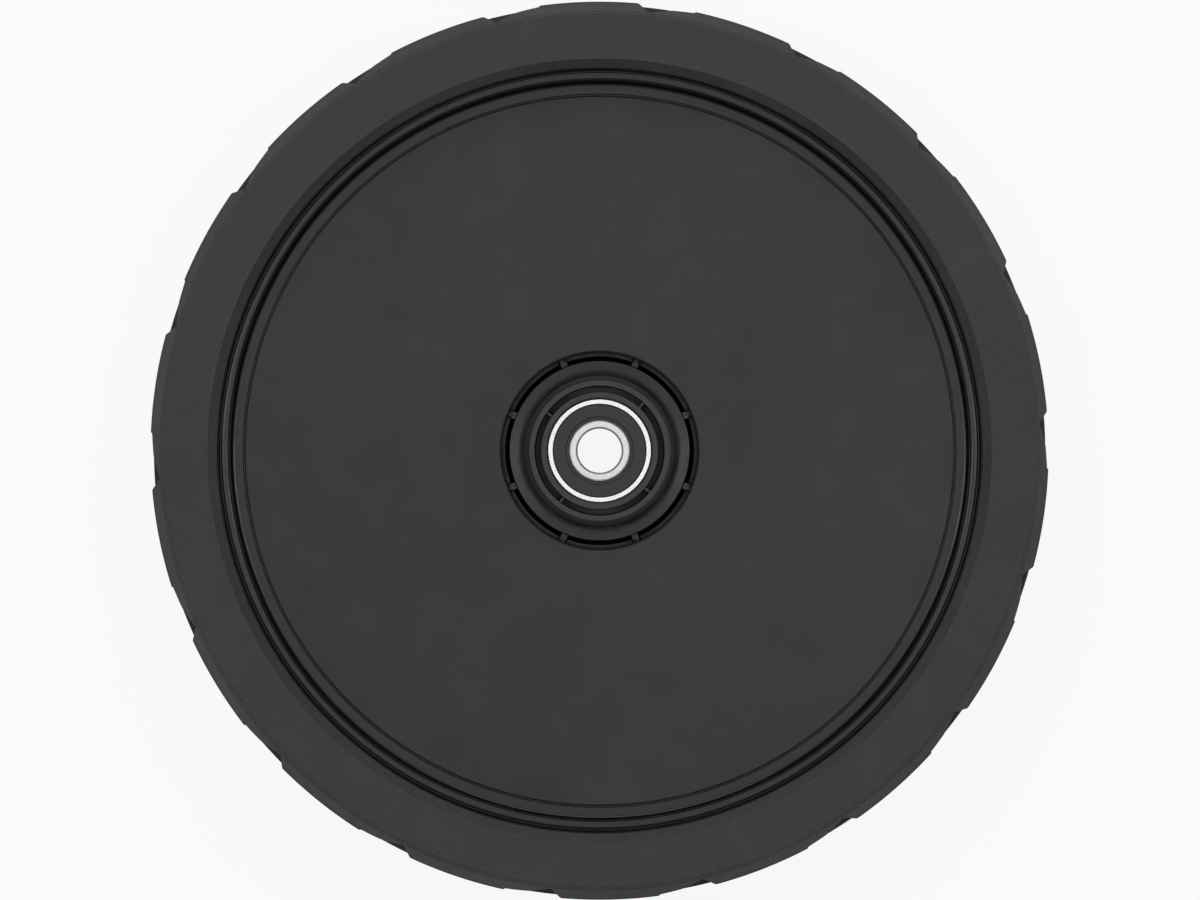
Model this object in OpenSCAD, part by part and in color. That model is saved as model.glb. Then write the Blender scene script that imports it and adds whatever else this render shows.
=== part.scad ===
// Moulded wheel with a snap-in cover disc and two sealed ball bearings.
// The axle line is Z, the covered face looks up, and the origin is the centre of the wheel.
// Radii come from the axle line, and heights from the mid-plane of the wheel.

/* [Wheel] */
// Diameter over the tread pads
wheel_d = 240; // [200:1:300]
// Width of the tyre over its two sidewalls
tyre_w = 45; // [41:0.5:55]
// Height of the tyre's section, from its seat on the rim to the tread
tyre_h = 18.6; // [17:0.2:24]
// Distance of a rim lip below the tyre's sidewall
lip_sink = 1.7; // [1.4:0.1:3]
// Width of the hub over the two bearing carriers
hub_w = 41; // [37:0.5:46]

/* [Tyre] */
// Number of lugs round the tread
lug_count = 18; // [12:1:24]
// Angle of the first notch root from the X axis, degrees
lug_phase = 3.6; // [0:0.1:20]
// Height of the raised pads over the lugs
pad_h = 0.4; // [0.2:0.1:1]
// Width along the axle of the sloping shoulder beside each lug
shoulder_w = 3.6; // [2.5:0.1:5]
// Width of the closed band round the middle of the tread
band_w = 10; // [6:0.5:16]
// Depth of a notch below the pads
notch_depth = 2.6; // [1.6:0.1:3.6]
// Angle of a notch's steep flank, degrees
flank_deg = 1.4; // [0.8:0.1:2.5]
// Angle from a notch's root to the knee of its long flank, degrees
knee_deg = 3; // [2:0.1:3.5]
// Angle from a notch's root to the end of the pad, degrees
taper_deg = 5.9; // [4.5:0.1:7]
// Height that the long flank has gained at its knee
knee_rise = 1.7; // [0.8:0.1:1.8]
// Distance of the crease beside the lugs below the sidewall
crease_drop = 1.9; // [1:0.1:3]
// Radial distance from a notch's root to that crease
crease_step = 0.2; // [0.1:0.05:0.4]
// Radial step from that crease to the edge of the sidewall
wall_step = 0.3; // [0.1:0.05:1]
// Rounding of the sidewall's outer edge
wall_edge = 1.6; // [0.5:0.1:1.8]
// Radial width of the bead's inward cone
bead_w = 2.2; // [1.4:0.1:3]
// Radial gap between the bead and the rim's lip at the mouth
bead_gap = 1.1; // [0.6:0.1:1.6]
// Step at the outer edge of the bead's cone
bead_step = 0.2; // [0.1:0.1:0.5]
// Width of the hollow chamber inside the tyre
chamber_w = 14; // [8:0.5:16]
// Height of the hollow chamber over the seat
chamber_h = 9.5; // [8.5:0.5:11]

/* [Rim] */
// Wall of the barrel under the tyre
barrel_wall = 3.2; // [2.6:0.1:3.6]
// Draft of the barrel's inner wall towards a lip
barrel_draft = 0.5; // [0.2:0.1:0.9]
// Radial width of a lip
lip_w = 2.2; // [1.6:0.1:2.6]
// Radial distance from the tyre's seat to a lip's outer face
lip_inset = 0.4; // [0.2:0.1:0.8]
// Height of the rounded lip over the barrel
lip_h = 3; // [2.4:0.1:3.6]
// Rounding of the lip's two edges
lip_edge = 0.45; // [0.2:0.05:0.7]
// Width of each of the two keys that hold the tyre
key_w = 3; // [2:0.5:4]
// Height of each key over the seat
key_h = 2; // [1:0.25:3]
// Distance of a key's middle from the mid-plane
key_z = 11; // [10.5:0.25:13]
// Thickness of the web
web_t = 3; // [2:0.2:4]
// Wall of the boss round a bearing carrier
boss_wall = 4.25; // [3:0.25:6]
// Height of the boss over the mid-plane, each way
boss_h = 12; // [11:0.25:13]
// Draft of the boss from its end to the web
boss_draft = 0.6; // [0.2:0.1:1.2]
// Fall of the boss's end face towards the carrier
boss_dish = 0.4; // [0.1:0.1:0.8]
// Radial width of the stop ring between the two carriers
stop_w = 2.6; // [1.5:0.1:3]
// Number of ribs on each side of the web
rib_count = 8; // [6:1:12]
// Thickness of a rib
rib_t = 2.4; // [1.6:0.2:3.2]
// Height of the near-side ribs, which carry the cover's collar
rib_near_h = 10; // [8:0.25:10.5]
// Height of the far-side ribs at the boss
rib_far_h = 11; // [8:0.25:11]
// Fall of a rib from its land to the barrel
rib_fall = 4; // [2:0.25:6]

/* [Cover disc] */
// Radial distance from the barrel's wall to the cover's edge
cover_inset = 3.15; // [2.6:0.05:5]
// Radial gap between the boss and the hole in the cover
hole_gap = 2.1; // [1:0.1:4]
// Thickness of the cover disc
cover_t = 2.4; // [2:0.1:3.2]
// Depth of the cover's face below the rim's lip
cover_depth = 5.8; // [5:0.2:7]
// Height of the cover's face over the ledge round it
ledge_drop = 1.5; // [0.8:0.1:2]
// Radial gap between the cover and its rebate
cover_gap = 0.45; // [0.2:0.05:0.6]
// Bevel on the cover's outer edge
cover_bevel = 0.4; // [0.2:0.1:0.8]
// Rounding of the cover's hole
cover_round = 0.7; // [0.3:0.1:1]
// Radial width of the collar under the hole
collar_w = 2; // [1.4:0.2:3]
// Rounding between the ledge and the barrel's wall
ledge_round = 1.1; // [0.5:0.1:1.2]
// Radial width of the shelf under the cover
shelf_w = 2.1; // [1.5:0.1:2.6]
// Thickness of the shelf
shelf_t = 2.4; // [1.8:0.1:3]
// Number of snap hooks round the cover
hook_count = 12; // [6:1:16]
// Angle that one snap hook takes, degrees
hook_deg = 8; // [5:0.5:12]
// Radial thickness of a snap hook
hook_t = 1.8; // [1.2:0.1:2.2]
// Reach of a hook's barb under the shelf
barb_w = 0.9; // [0.4:0.1:1.2]
// Height of a hook's barb
barb_h = 2.4; // [1.6:0.1:2.6]
// Play between a barb and the shelf
snap_gap = 0.1; // [0.05:0.05:0.2]

/* [Bearing carriers] */
// Radial width of the collar round the bearing
seat_wall = 1.65; // [1.3:0.05:1.9]
// Radial width of the slot ring
slot_w = 1.65; // [1.2:0.05:1.8]
// Wall of the carrier outside the slot ring
sleeve_w = 2.7; // [2.3:0.1:4]
// Depth of the slot ring
slot_depth = 8.5; // [6:0.5:9]
// Thickness of the floor behind the bearing
floor_t = 3; // [2:0.25:4]
// Thickness of the two walls beyond the floor
stem_wall = 2.2; // [1.6:0.1:2.6]
// Thickness of a bridge in the slot ring
bridge_t = 0.5; // [0.4:0.1:1]
// Drop of the bridges below the carrier's end
bridge_drop = 0.3; // [0.1:0.1:1]
// Depth of the bearing's face below the carrier's end
bearing_sink = 0.5; // [0.2:0.1:1]
// Radial width of the chamfer round the carrier's end
end_chamfer = 0.95; // [0.5:0.05:1.05]
// Fall of that chamfer along the axle
end_fall = 1.1; // [0.5:0.1:1.6]
// Depth of the fine groove inside the chamfer
end_groove = 0.3; // [0.1:0.05:0.6]

/* [Bearings] */
// Bore of the bearing
bearing_bore = 12; // [10.8:0.1:13]
// Outer diameter of the bearing
bearing_od = 28; // [26:0.1:31]
// Width of the bearing
bearing_w = 8; // [7.2:0.1:8.8]
// Number of balls
ball_count = 8; // [6:1:8]
// Radial distance from the balls' circle to the inner ring's shoulders
inner_drop = 1.6; // [1.3:0.05:1.8]
// Radial distance from the balls' circle to the outer ring's shoulders
outer_drop = 1.75; // [1.3:0.05:1.8]
// Radial depth of the inner ring's step under the seal's lip
lip_step = 0.57; // [0.4:0.01:0.65]
// Radial width of the outer ring's end face and chamfer
outer_face_w = 1.5; // [1.4:0.02:1.6]
// Chamfer on the rings' outer and bore edges
ring_chamfer = 0.37; // [0.2:0.01:0.45]
// Thickness of a seal
seal_t = 0.7; // [0.6:0.02:0.75]
// Depth of a seal's face below the bearing's face
seal_sink = 0.25; // [0.15:0.05:0.3]
// Radial reach of the seal's bead into its groove
seal_bead = 0.3; // [0.2:0.02:0.35]
// Height of the seal's bead
seal_bead_h = 0.4; // [0.3:0.02:0.45]
// Radial width of the seal's thin lip
seal_lip_w = 0.9; // [0.6:0.05:1.1]
// Thickness of the seal's thin lip
seal_lip_t = 0.3; // [0.2:0.02:0.4]
// Radial play between the seal's lip and the inner ring
lip_play = 0.2; // [0.15:0.01:0.25]
// Radial width of the cage's band
cage_w = 1.8; // [1.6:0.1:2]
// Sheet thickness of the cage
cage_t = 0.35; // [0.3:0.01:0.38]
// Radius of a cage rivet's shank
rivet_r = 0.3; // [0.25:0.01:0.35]
// Radius of a cage rivet's head
rivet_head_r = 0.5; // [0.4:0.01:0.6]
// Wall of the spacer tube between the two inner rings
spacer_wall = 1.5; // [1:0.05:1.8]

/* [Fits] */
// Radial clearance of a pressed or moulded seat
seat_fit = 0.02; // [0.01:0.005:0.05]
// Clearance of the tyre over the rim's keys
key_fit = 0.1; // [0.05:0.05:0.2]
// Clearance between a ball and its races
ball_fit = 0.06; // [0.04:0.01:0.08]
// Clearance between a ball and its cage
cage_fit = 0.12; // [0.1:0.01:0.14]
// Clearance between a cage's domes and the seals
seal_play = 0.199; // [0.15:0.001:0.3]
// Clearance between a seal and the rings' shoulders
shoulder_play = 0.1; // [0.05:0.01:0.2]
// End play of the spacer tube, each end
spacer_fit = 0.05; // [0.02:0.01:0.1]
// Radial clearance of the spacer tube round the axle
axle_gap = 0.3; // [0.2:0.05:0.6]

/* [Hidden] */
SIDES = ["near", "far"];
RING_PARTS = ["outer_ring", "inner_ring", "seal_outboard", "seal_inboard",
              "cage_outboard", "cage_inboard", "cage_rivets"];

// Directions of the four bridges in the slot ring, degrees from the X axis
bridge_dirs = [47.4, 144.1, 232.4, 320.5];
// Rim ribs start half a pitch from the X axis
rib_phase = 180 / rib_count;
// A cutter runs this far past the surface that it cuts
over = 2;
// Facet counts for large and for small round forms
$fn = 180;
fn_small = 64;

crown_r = wheel_d / 2;
lug_r = crown_r - pad_h;
root_r = crown_r - notch_depth;
crease_r = root_r - crease_step;
wall_r = crease_r - wall_step;
wall_z = tyre_w / 2;
crease_z = wall_z - crease_drop;
pad_z = crease_z - shoulder_w - pad_h;
pitch = 360 / lug_count;

seat_r = crown_r - tyre_h;
lip_z = wall_z - lip_sink;
lip_root_z = lip_z - lip_h;
lip_out_r = seat_r - lip_inset;
lip_in_r = lip_out_r - lip_w;
barrel_r = seat_r - barrel_wall;

bearing_r = bearing_od / 2;
seat_out_r = bearing_r + seat_wall;
slot_r = seat_out_r + slot_w;
carrier_r = slot_r + sleeve_w;
chamfer_r = carrier_r - end_chamfer;
boss_r = carrier_r + boss_wall;
boss_root_r = boss_r + boss_draft;
hub_z = hub_w / 2;

cover_z = lip_z - cover_depth;
cover_under_z = cover_z - cover_t;
cover_r = barrel_r - cover_inset;
cover_hole_r = boss_r + hole_gap;
rebate_r = cover_r + cover_gap;
ledge_z = cover_z - ledge_drop;
ledge_top_z = ledge_z + ledge_round;
ledge_out_r = barrel_r + barrel_draft * (ledge_top_z - web_t / 2) / (lip_root_z - web_t / 2);
shelf_r = rebate_r - shelf_w;
shelf_z = cover_under_z - shelf_t;
hook_r = shelf_r - seat_fit;
rib_land_r = cover_hole_r + collar_w + rib_t / 2;

bore_r = bearing_bore / 2;
bearing_face_z = hub_z - bearing_sink;
bearing_mid_z = bearing_face_z - bearing_w / 2;
bearing_back_z = bearing_face_z - bearing_w;

half_w = bearing_w / 2;
pitch_r = (bearing_bore + bearing_od) / 4;
ball_d = bearing_w - 2 * (seal_sink + seal_t + seal_play + cage_t + cage_fit);
race_r = ball_d / 2 + ball_fit;
pocket_r = ball_d / 2 + cage_fit;
inner_shoulder_r = pitch_r - inner_drop;
outer_shoulder_r = pitch_r + outer_drop;
lip_land_r = inner_shoulder_r - lip_step;
recess_r = bearing_r - outer_face_w;
seal_top_z = half_w - seal_sink;
seal_under_z = seal_top_z - seal_t;
shoulder_z = seal_under_z - shoulder_play;
spacer_in_r = bore_r + axle_gap;

// A point at a direction in degrees and a radius
function polar(deg, r) = [r * cos(deg), r * sin(deg)];

// A rectangle in a section, between two radii and two heights
module bar(r0, r1, z0, z1) {
    translate([r0, z0]) square([r1 - r0, z1 - z0]);
}

// Both mirrored halves of a section
module both_sides() {
    children();
    mirror([0, 1]) children();
}

// One half of the tyre's section before its inner side is cut
module tyre_outline() {
    bar(seat_r, wall_r - wall_edge, 0, wall_z);
    bar(seat_r, wall_r, 0, wall_z - wall_edge);
    translate([wall_r - wall_edge, wall_z - wall_edge]) circle(wall_edge, $fn = fn_small);
    polygon([[seat_r, 0], [crown_r, 0], [crown_r, pad_z], [lug_r, pad_z + pad_h],
             [crease_r, crease_z], [seat_r, crease_z]]);
}

module tyre_section() {
    bead_r = lip_out_r + bead_gap;
    mouth_z = lip_z - lip_edge;
    difference() {
        tyre_outline();
        bar(0, seat_r + seat_fit, 0, wall_z + over);
        polygon([[seat_r - over, lip_root_z], [seat_r, lip_root_z], [bead_r, mouth_z],
                 [bead_r + bead_w, wall_z - bead_step], [bead_r + bead_w, wall_z + over],
                 [seat_r - over, wall_z + over]]);
        bar(seat_r, seat_r + key_h + key_fit,
            key_z - key_w / 2 - key_fit, key_z + key_w / 2 + key_fit);
        bar(seat_r, seat_r + chamber_h - chamber_w / 2, 0, chamber_w / 2);
        translate([seat_r + chamber_h - chamber_w / 2, 0])
            intersection() {
                circle(chamber_w / 2, $fn = fn_small);
                bar(0, chamber_w, 0, chamber_w);
            }
    }
}

// The cut between two lugs, seen along the axle, with its root on the X axis
module notch_outline() {
    top_r = crown_r + over;
    taper_r = lug_r + pad_h / 8;
    steep_deg = flank_deg * (top_r - root_r) / notch_depth;
    polygon([polar(0, root_r), polar(steep_deg, top_r), polar(-taper_deg, top_r),
             polar(-taper_deg, taper_r), polar(-knee_deg, root_r + knee_rise)]);
}

module lug_notches() {
    for (i = [0 : lug_count - 1])
        rotate(lug_phase + i * pitch) notch_outline();
}

module tyre() {
    color([0.16, 0.16, 0.16])
    difference() {
        rotate_extrude() both_sides() tyre_section();
        for (side = [0, 1])
            mirror([0, 0, side])
                translate([0, 0, band_w / 2]) linear_extrude(wall_z) lug_notches();
    }
}

// A rim lip with its two edges rounded
module lip_section() {
    bar(lip_in_r, lip_out_r, lip_root_z - over, lip_z - lip_edge);
    bar(lip_in_r + lip_edge, lip_out_r - lip_edge, lip_root_z - over, lip_z);
    for (r = [lip_in_r + lip_edge, lip_out_r - lip_edge])
        translate([r, lip_z - lip_edge]) circle(lip_edge, $fn = fn_small);
}

// What the two sides of the rim share: barrel, lip, key, web, boss and stop ring
module rim_half_section() {
    difference() {
        union() {
            bar(barrel_r, seat_r, 0, lip_root_z);
            bar(barrel_r, lip_out_r, 0, lip_z - lip_edge);
            lip_section();
        }
        polygon([[barrel_r - over, -over], [barrel_r, web_t / 2], [barrel_r + barrel_draft, lip_root_z],
                 [lip_in_r, lip_z - lip_edge], [barrel_r - over, lip_z - lip_edge]]);
    }
    bar(barrel_r, seat_r + key_h, key_z - key_w / 2, key_z + key_w / 2);
    bar(carrier_r - stop_w, seat_r - barrel_wall / 2, 0, web_t / 2);
    polygon([[carrier_r + seat_fit, 0], [boss_root_r, 0], [boss_r, boss_h],
             [carrier_r + seat_fit, boss_h - boss_dish]]);
}

module cover_shelf_section() {
    bar(shelf_r, seat_r - barrel_wall / 2, shelf_z, cover_under_z);
    bar(rebate_r, seat_r - barrel_wall / 2, shelf_z, ledge_z);
    difference() {
        bar(ledge_out_r - ledge_round, barrel_r + barrel_wall / 2, ledge_z, ledge_top_z);
        translate([ledge_out_r - ledge_round, ledge_top_z]) circle(ledge_round, $fn = fn_small);
    }
}

// One rib, seen from its side: a level land by the boss, then a fall to the barrel
module rib(land_h) {
    root_in_r = carrier_r + boss_draft;
    root_out_r = barrel_r + barrel_draft;
    rotate([90, 0, 0]) translate([0, 0, -rib_t / 2])
        linear_extrude(rib_t)
            polygon([[root_in_r, 0], [root_out_r, 0], [root_out_r, land_h - rib_fall],
                     [rib_land_r, land_h], [root_in_r, land_h]]);
}

module rim() {
    color([0.06, 0.06, 0.06]) {
        rotate_extrude() {
            both_sides() rim_half_section();
            cover_shelf_section();
        }
        for (i = [0 : rib_count - 1])
            rotate(rib_phase + i * 360 / rib_count) {
                rib(rib_near_h);
                mirror([0, 0, 1]) rib(rib_far_h);
            }
    }
}

// The disc, with a bevelled outer edge, a rounded hole and a collar that lies on the ribs
module cover_section() {
    difference() {
        union() {
            bar(cover_hole_r, cover_r, cover_under_z, cover_z - cover_bevel);
            bar(cover_hole_r, cover_r - cover_bevel, cover_under_z, cover_z);
            polygon([[cover_r - cover_bevel, cover_under_z], [cover_r, cover_z - cover_bevel],
                     [cover_r - cover_bevel, cover_z]]);
            bar(cover_hole_r, cover_hole_r + collar_w, rib_near_h, cover_z);
        }
        difference() {
            bar(cover_hole_r - over, cover_hole_r + cover_round, cover_z - cover_round,
                cover_z + over);
            translate([cover_hole_r + cover_round, cover_z - cover_round])
                circle(cover_round, $fn = fn_small);
        }
    }
}

// A hook with its barb under the shelf
module hook_section() {
    barb_z = shelf_z - snap_gap;
    polygon([[hook_r - hook_t, cover_z - cover_bevel], [hook_r - hook_t, barb_z - barb_h],
             [hook_r, barb_z - barb_h], [hook_r + barb_w, barb_z - barb_h / 4],
             [hook_r + barb_w, barb_z], [hook_r, barb_z], [hook_r, cover_z - cover_bevel]]);
}

module cover_disc() {
    color([0.2, 0.2, 0.19]) {
        rotate_extrude() cover_section();
        for (i = [0 : hook_count - 1])
            rotate(i * 360 / hook_count - hook_deg / 2)
                rotate_extrude(angle = hook_deg) hook_section();
    }
}

// The sleeve between boss and bearing, with the slot ring open at its end
module carrier_section() {
    back_z = web_t / 2;
    floor_z = bearing_back_z - floor_t;
    stem_r = outer_shoulder_r + stem_wall;
    difference() {
        bar(outer_shoulder_r, carrier_r, back_z, hub_z);
        bar(0, bearing_r + seat_fit, bearing_back_z, hub_z + over);
        bar(seat_out_r, slot_r, hub_z - slot_depth, hub_z + over);
        bar(stem_r, carrier_r - stem_wall, back_z - over, floor_z);
        polygon([[chamfer_r, hub_z + over], [chamfer_r, hub_z - end_groove / 2],
                 [carrier_r, hub_z - end_groove / 2 - end_fall], [carrier_r + over, hub_z - end_fall],
                 [carrier_r + over, hub_z + over]]);
        bar(chamfer_r - end_groove, chamfer_r + end_groove / 4, hub_z - end_groove, hub_z + over);
    }
}

module carrier() {
    color([0.2, 0.2, 0.19]) {
        rotate_extrude() carrier_section();
        for (dir = bridge_dirs)
            rotate(dir)
                translate([seat_out_r - seat_wall / 4, -bridge_t / 2, hub_z - slot_depth - floor_t / 4])
                    cube([slot_w + seat_wall / 2, bridge_t,
                          slot_depth + floor_t / 4 - bridge_drop]);
    }
}

// Bearing parts lie about the bearing's own middle
module outer_ring() {
    color([0.75, 0.75, 0.74])
    rotate_extrude()
        difference() {
            polygon([[outer_shoulder_r, -half_w], [bearing_r - ring_chamfer, -half_w],
                     [bearing_r, ring_chamfer - half_w], [bearing_r, half_w - ring_chamfer],
                     [bearing_r - ring_chamfer, half_w], [outer_shoulder_r, half_w]]);
            translate([pitch_r, 0]) circle(race_r, $fn = fn_small);
            both_sides() {
                bar(0, recess_r, shoulder_z, half_w + over);
                bar(0, recess_r + seal_bead + seat_fit, shoulder_z,
                    seal_under_z + seal_bead_h + seat_fit);
            }
        }
}

module inner_ring() {
    color([0.78, 0.78, 0.77])
    rotate_extrude()
        difference() {
            polygon([[bore_r + ring_chamfer, -half_w], [lip_land_r, -half_w],
                     [lip_land_r, -shoulder_z], [inner_shoulder_r, -shoulder_z],
                     [inner_shoulder_r, shoulder_z], [lip_land_r, shoulder_z],
                     [lip_land_r, half_w], [bore_r + ring_chamfer, half_w],
                     [bore_r, half_w - ring_chamfer], [bore_r, ring_chamfer - half_w]]);
            translate([pitch_r, 0]) circle(race_r, $fn = fn_small);
        }
}

// A seal held by its bead in the outer ring, with its thin lip over the inner ring's step
module seal() {
    lip_r = lip_land_r + lip_play;
    face_r = lip_r + seal_lip_w;
    color([0.17, 0.17, 0.17])
    rotate_extrude() {
        bar(lip_r, face_r, seal_under_z, seal_under_z + seal_lip_t);
        polygon([[face_r, seal_under_z], [recess_r - seat_fit, seal_under_z],
                 [recess_r - seat_fit, seal_top_z - seal_lip_t],
                 [recess_r - seat_fit - seal_lip_t, seal_top_z],
                 [face_r + seal_lip_t / 2, seal_top_z], [face_r, seal_top_z - seal_lip_t / 2]]);
        bar(recess_r - seal_lip_w, recess_r + seal_bead, seal_under_z,
            seal_under_z + seal_bead_h);
    }
}

module ball_places() {
    for (i = [0 : ball_count - 1])
        rotate(i * 360 / ball_count) translate([pitch_r, 0, 0]) children();
}

module rivet_places() {
    rotate(180 / ball_count) ball_places() children();
}

// The dome over one ball, about the ball's own upright line
module cage_dome() {
    rotate_extrude($fn = fn_small)
        difference() {
            circle(pocket_r + cage_t, $fn = fn_small);
            circle(pocket_r, $fn = fn_small);
            bar(-ball_d, 0, -ball_d, ball_d);
            bar(-ball_d, ball_d, -ball_d, 0);
        }
}

// One pressed half: a flat band with a dome over each ball and a hole for each rivet
module cage_half() {
    color([0.62, 0.6, 0.55])
    intersection() {
        rotate_extrude() bar(pitch_r - cage_w / 2, pitch_r + cage_w / 2, 0, ball_d);
        union() {
            linear_extrude(cage_t)
                difference() {
                    circle(bearing_r);
                    ball_places() circle(pocket_r + cage_t / 2, $fn = fn_small);
                    rivet_places() circle(rivet_r + seat_fit, $fn = 24);
                }
            ball_places() cage_dome();
        }
    }
}

module cage_rivets() {
    color([0.7, 0.68, 0.62])
    rivet_places()
        rotate_extrude($fn = 24)
            both_sides() {
                bar(0, rivet_r, 0, 2 * cage_t);
                bar(0, rivet_head_r, cage_t, 2 * cage_t);
            }
}

module ball() {
    color([0.85, 0.85, 0.85]) sphere(ball_d / 2, $fn = fn_small);
}

module spacer_tube() {
    end_z = bearing_back_z - spacer_fit;
    color([0.65, 0.66, 0.67])
    rotate_extrude()
        bar(spacer_in_r, spacer_in_r + spacer_wall, -end_z, end_z);
}

// The far side mirrors the near side
module on_side(s) {
    mirror([0, 0, s == "near" ? 0 : 1]) children();
}

module at_bearing(s) {
    on_side(s) translate([0, 0, bearing_mid_z]) children();
}

tyre();
rim();
cover_disc();
spacer_tube();
for (s = SIDES) {
    on_side(s) carrier();
    at_bearing(s) outer_ring();
    at_bearing(s) inner_ring();
    at_bearing(s) seal();
    at_bearing(s) mirror([0, 0, 1]) seal();
    at_bearing(s) cage_half();
    at_bearing(s) mirror([0, 0, 1]) cage_half();
    at_bearing(s) cage_rivets();
    for (i = [1 : ball_count])
        at_bearing(s) rotate((i - 1) * 360 / ball_count) translate([pitch_r, 0, 0]) ball();
}
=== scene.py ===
"""A moulded machine wheel lying on a pale floor, seen straight down its axle line.

Lengths in the section tables are millimetres: radii from the axle line, heights from the wheel's mid-plane.
Meshes are made in metres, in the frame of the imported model.
"""

import math

import bpy
import numpy as np
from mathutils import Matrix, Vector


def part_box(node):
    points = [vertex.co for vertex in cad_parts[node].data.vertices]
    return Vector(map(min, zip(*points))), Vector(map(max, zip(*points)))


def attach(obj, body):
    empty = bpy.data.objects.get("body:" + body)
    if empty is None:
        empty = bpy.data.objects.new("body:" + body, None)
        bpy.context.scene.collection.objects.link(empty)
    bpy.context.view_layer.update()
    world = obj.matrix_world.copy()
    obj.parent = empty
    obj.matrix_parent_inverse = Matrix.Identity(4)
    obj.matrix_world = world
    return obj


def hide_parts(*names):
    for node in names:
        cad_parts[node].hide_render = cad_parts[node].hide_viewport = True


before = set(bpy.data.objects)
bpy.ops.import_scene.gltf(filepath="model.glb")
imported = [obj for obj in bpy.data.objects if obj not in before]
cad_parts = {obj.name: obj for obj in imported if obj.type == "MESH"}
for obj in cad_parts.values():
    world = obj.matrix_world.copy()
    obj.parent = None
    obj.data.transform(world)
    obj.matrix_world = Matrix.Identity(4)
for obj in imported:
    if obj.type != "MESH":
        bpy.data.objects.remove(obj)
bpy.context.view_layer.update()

MM = 0.001
COLUMNS = 360
SMALL_COLUMNS = 240
SIDES = {"near": 1, "far": -1}


def size_mm(node, axis, end=1):
    """One coordinate of a CAD node's box, in millimetres."""
    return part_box(node)[end][axis] / MM


# Driving sizes, read from the frame
CROWN_R = size_mm("tyre", 0)
WALL_Z = size_mm("tyre", 2)
LIP_Z = size_mm("rim", 2)
COVER_R = size_mm("cover_disc", 0)
COVER_Z = size_mm("cover_disc", 2)
CARRIER_R = size_mm("near_carrier", 0)
HUB_Z = size_mm("near_carrier", 2)
BEARING_R = size_mm("near_outer_ring", 0)
BEARING_TOP_Z = size_mm("near_outer_ring", 2)
BEARING_BACK_Z = size_mm("near_outer_ring", 2, 0)

# Tyre
SEAT_R = CROWN_R - 18.6
PAD_H = 0.4
LUG_R = CROWN_R - PAD_H
NOTCH_DEPTH = 2.6
ROOT_R = CROWN_R - NOTCH_DEPTH
CREASE_R = ROOT_R - 0.2
WALL_R = CREASE_R - 0.3
CREASE_Z = WALL_Z - 1.9
LUG_Z = CREASE_Z - 3.6
BAND_Z = 5.0
LUG_COUNT = 18
LUG_PHASE = 3.6
FLANK_DEG = 1.4
KNEE_DEG = 3.0
TAPER_DEG = 5.9
KNEE_RISE = 1.7
WALL_EDGE = 1.6
KEY_Z = (9.5, 12.5)
KEY_H = 2.0

# Rim
BARREL_R = SEAT_R - 3.2
BARREL_DRAFT = 0.5
LIP_OUT_R = SEAT_R - 0.4
LIP_IN_R = LIP_OUT_R - 2.2
LIP_ROOT_Z = LIP_Z - 3.0
WEB_Z = 1.5
BOSS_Z = 12.0
BOSS_R = CARRIER_R + 4.25
BOSS_ROOT_R = BOSS_R + 0.6
BOSS_DISH = 0.4
STOP_R = CARRIER_R - 2.6
SEAT_FIT = 0.02
RIB_COUNT = 8
RIB_T = 2.4
RIB_FALL = 4.0
RIB_LAND = {"near": 10.0, "far": 11.0}

# Cover disc
COVER_UNDER_Z = COVER_Z - 2.4
COVER_BEVEL = 0.4
HOLE_R = BOSS_R + 2.1
COLLAR_W = 2.0
REBATE_R = COVER_R + 0.45
LEDGE_Z = COVER_Z - 1.5
LEDGE_ROUND = 1.1
SHELF_R = REBATE_R - 2.1
SHELF_Z = COVER_UNDER_Z - 2.4
HOOK_COUNT = 12
HOOK_DEG = 8.0
HOOK_T = 1.8
BARB_W = 0.9
BARB_H = 2.4


def rounded(corners):
    """The rows of a closed section whose corners are rounded by arcs.

    A corner is (r, z, radius, steps). Its r and z may be arrays, with one value for each column.
    """
    places = [np.stack(np.broadcast_arrays(np.asarray(c[0], float), np.asarray(c[1], float)), -1)
              for c in corners]
    rows = []
    for i, (_, _, radius, steps) in enumerate(corners):
        here, before, after = places[i], places[i - 1], places[(i + 1) % len(places)]
        if steps < 1:
            rows.append(here)
            continue
        arm_a, arm_b = before - here, after - here
        long_a = np.linalg.norm(arm_a, axis=-1, keepdims=True)
        long_b = np.linalg.norm(arm_b, axis=-1, keepdims=True)
        cosine = np.sum(arm_a * arm_b, -1, keepdims=True) / (long_a * long_b)
        half = 0.5 * np.arccos(np.clip(cosine, -0.9999, 0.9999))
        reach = np.minimum(radius / np.tan(half), 0.48 * np.minimum(long_a, long_b))
        start, end, weight = here + arm_a / long_a * reach, here + arm_b / long_b * reach, np.sin(half)
        for t in np.linspace(0, 1, steps + 1):
            a, b, c = (1 - t) ** 2, 2 * weight * t * (1 - t), t * t
            rows.append((a * start + b * here + c * end) / (a + b + c))
    return rows


def far_side(corners):
    """The same closed section, mirrored to the wheel's far side."""
    return [(r, -z, radius, steps) for r, z, radius, steps in reversed(corners)]


def shifted(corners, dz):
    return [(r, z + dz, radius, steps) for r, z, radius, steps in corners]


def new_piece(name, points, faces, body="wheel"):
    """A smooth mesh piece, riding on a CAD body; turned() then weights its normals by area."""
    mesh = bpy.data.meshes.new(name)
    mesh.from_pydata(points.tolist(), [], faces)
    mesh.polygons.foreach_set("use_smooth", [True] * len(mesh.polygons))
    piece = bpy.data.objects.new(name, mesh)
    bpy.context.scene.collection.objects.link(piece)
    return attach(piece, body)


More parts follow.
